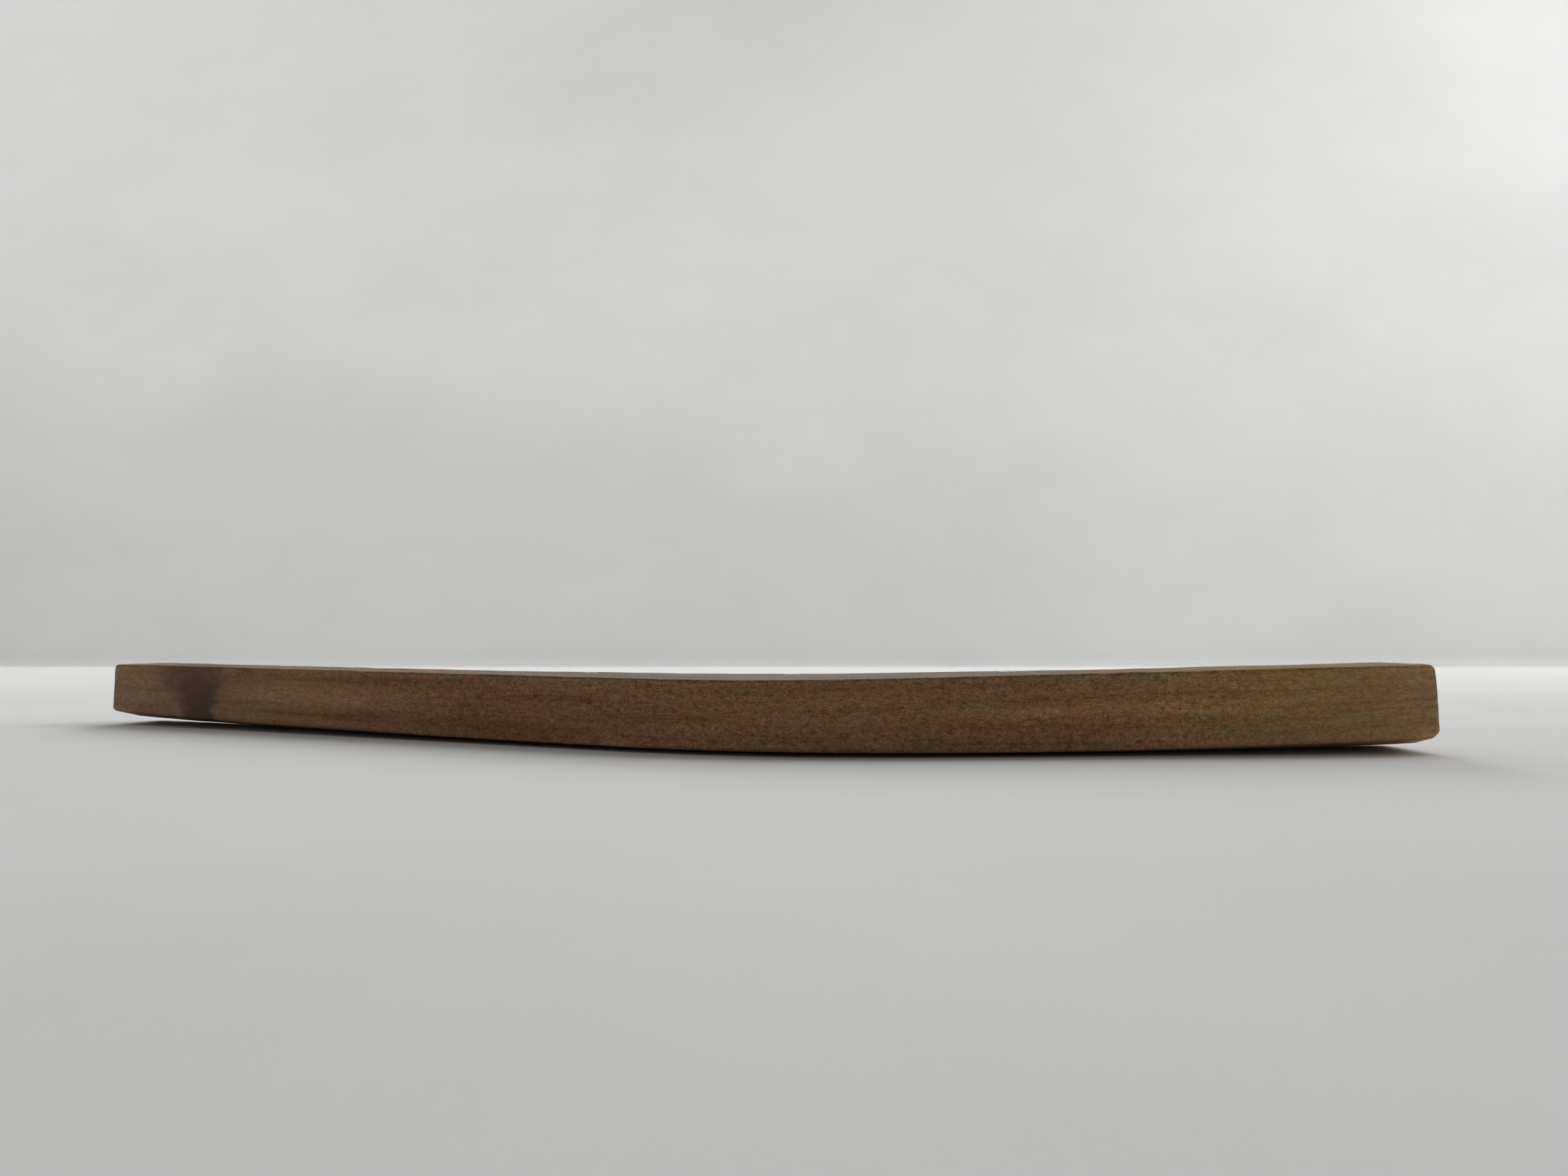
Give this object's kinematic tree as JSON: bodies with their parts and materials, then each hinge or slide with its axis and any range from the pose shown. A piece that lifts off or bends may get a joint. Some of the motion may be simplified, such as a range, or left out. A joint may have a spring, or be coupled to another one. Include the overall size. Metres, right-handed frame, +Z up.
{
  "type": "drawknife",
  "caption": "Drawknife with a shallow crescent wooden stock whose plain arms are the grips, and a short straight single-bevel blade pinned into its hollow side.",
  "frame": {"origin": "on the flat of the belly that the tool lies on, at the elbow's centre line, in the middle of the stock's width there", "axes": "+X along the tool towards the shorter, thicker arm; -Y towards the convex back; +Y towards the cutting edge and the user; +Z up, out of the belly"},
  "size_m": [0.3986, 0.078, 0.0225],
  "materials": {
    "stock_wood": "bare, matte, hand-shaped",
    "blade_steel": "ground bevel, light patina",
    "pin_steel": "peened"
  },
  "bodies": {
    "root": {"stock": "stock_wood", "blade": "blade_steel", "blade_pin_left": "pin_steel", "blade_pin_middle": "pin_steel", "blade_pin_right": "pin_steel"}
  },
  "joints": []
}
